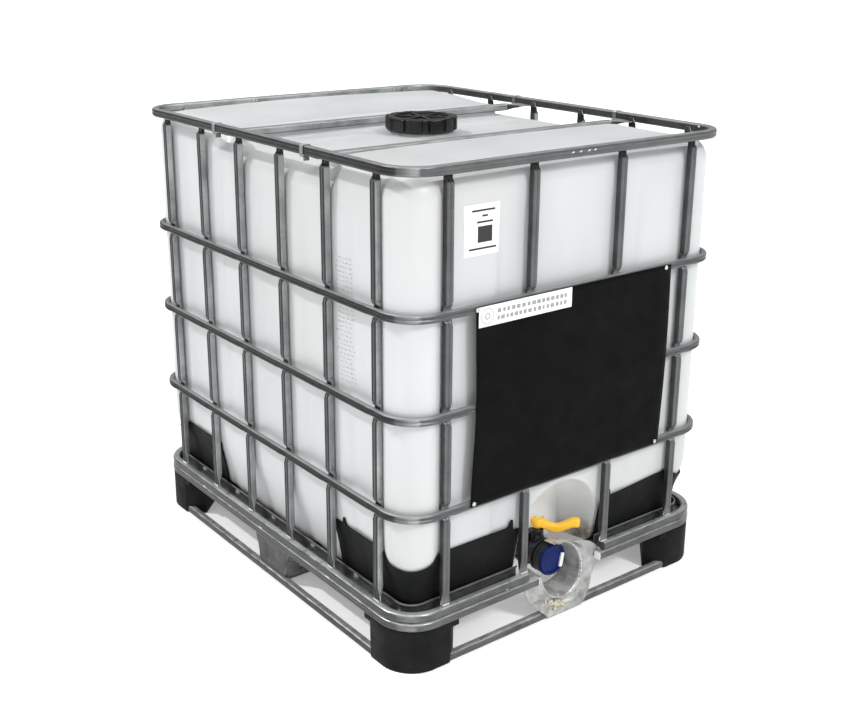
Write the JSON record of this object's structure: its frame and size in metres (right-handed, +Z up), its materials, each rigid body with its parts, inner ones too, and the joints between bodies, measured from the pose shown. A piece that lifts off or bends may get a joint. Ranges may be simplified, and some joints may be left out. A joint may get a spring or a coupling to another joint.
{
  "type": "intermediate bulk container",
  "caption": "Caged bulk liquid container: translucent bottle in a steel tube cage on a skid pallet, with screw lid, quarter-turn outlet valve and screw outlet cap.",
  "frame": {"origin": "on the ground, under the middle of the footprint", "axes": "+X to the right along the valve face, -Y out of the valve face, +Z up"},
  "size_m": [1, 1.2, 1.16],
  "materials": {
    "pallet_steel": "hot-dip galvanised, matt with a faint spangle",
    "cage_steel": "galvanised tube, dull satin",
    "zinc_fixings": "bright zinc",
    "black_polymer": "moulded, fine grain",
    "plate_black": "matt black paint",
    "bottle_polymer": "translucent blow-moulded, soft sheen",
    "lid_black": "moulded, satin",
    "seal_rubber": "matt",
    "valve_black": "moulded, satin",
    "handle_yellow": "moulded, soft gloss",
    "cap_blue": "moulded, soft gloss",
    "label_white": "printed film"
  },
  "bodies": {
    "container": {"skid_ring": "pallet_steel", "skid_runner": "pallet_steel", "foot_front_left": "black_polymer", "foot_front_right": "black_polymer", "foot_back_left": "black_polymer", "foot_back_right": "black_polymer", "leg_left": "pallet_steel", "leg_right": "pallet_steel", "leg_back": "pallet_steel", "valve_guard": "pallet_steel", "pallet_ring": "pallet_steel", "ring_plugs": "bottle_polymer", "deck_tray": "pallet_steel", "deck_bolts": "zinc_fixings", "cage_base_ring": "pallet_steel", "front_bar_1": "cage_steel", "front_bar_2": "cage_steel", "front_bar_3": "cage_steel", "front_bar_4": "cage_steel", "back_bar_1": "cage_steel", "back_bar_2": "cage_steel", "back_bar_3": "cage_steel", "back_bar_4": "cage_steel", "left_bar_1": "cage_steel", "left_bar_2": "cage_steel", "left_bar_3": "cage_steel", "left_bar_4": "cage_steel", "left_bar_5": "cage_steel", "left_bar_6": "cage_steel", "right_bar_1": "cage_steel", "right_bar_2": "cage_steel", "right_bar_3": "cage_steel", "right_bar_4": "cage_steel", "right_bar_5": "cage_steel", "right_bar_6": "cage_steel", "ring_lower": "cage_steel", "ring_middle": "cage_steel", "ring_upper": "cage_steel", "top_rim": "cage_steel", "crossbar_front": "cage_steel", "crossbar_rear": "cage_steel", "crossbar_clips": "cage_steel", "corner_guard_front_left": "black_polymer", "corner_guard_front_right": "black_polymer", "corner_guard_back_left": "black_polymer", "corner_guard_back_right": "black_polymer", "label_plate": "plate_black", "plate_screws": "zinc_fixings", "bottle": "bottle_polymer", "valve_nut": "valve_black", "valve_seal": "seal_rubber", "valve_body": "valve_black"},
    "lid_carrier": {"lid_seal": "seal_rubber"},
    "lid": {"lid": "lid_black"},
    "valve_handle": {"valve_handle": "handle_yellow", "handle_screw": "zinc_fixings", "valve_stem": "zinc_fixings", "valve_disc": "valve_black"},
    "outlet_cap_carrier": {"outlet_cap_seal": "seal_rubber"},
    "outlet_cap": {"outlet_cap": "cap_blue"}
  },
  "joints": [
    {"name": "lid_lift", "type": "slide", "parent": "container", "child": "lid_carrier", "axis": [0, 0, 1], "range_m": [0, 0.0281]},
    {"name": "lid_turn", "type": "hinge", "parent": "lid_carrier", "child": "lid", "pos_m": [0, 0, 1.14], "axis": [0, 0, 1], "range_deg": [0, 1440]},
    {"name": "handle_turn", "type": "hinge", "parent": "container", "child": "valve_handle", "pos_m": [0, -0.487, 0.124], "axis": [0, 0, 1], "range_deg": [-50, 40]},
    {"name": "cap_travel", "type": "slide", "parent": "container", "child": "outlet_cap_carrier", "axis": [0, -1, 0], "range_m": [0, 0.0241]},
    {"name": "cap_turn", "type": "hinge", "parent": "outlet_cap_carrier", "child": "outlet_cap", "pos_m": [0, -0.535, 0.124], "axis": [0, -1, 0], "range_deg": [0, 1440]}
  ],
  "couplings": [
    {"joint": "lid_lift", "follows": "lid_turn", "m_per_rad": 0.0011141},
    {"joint": "cap_travel", "follows": "cap_turn", "m_per_rad": 0.00095493}
  ]
}
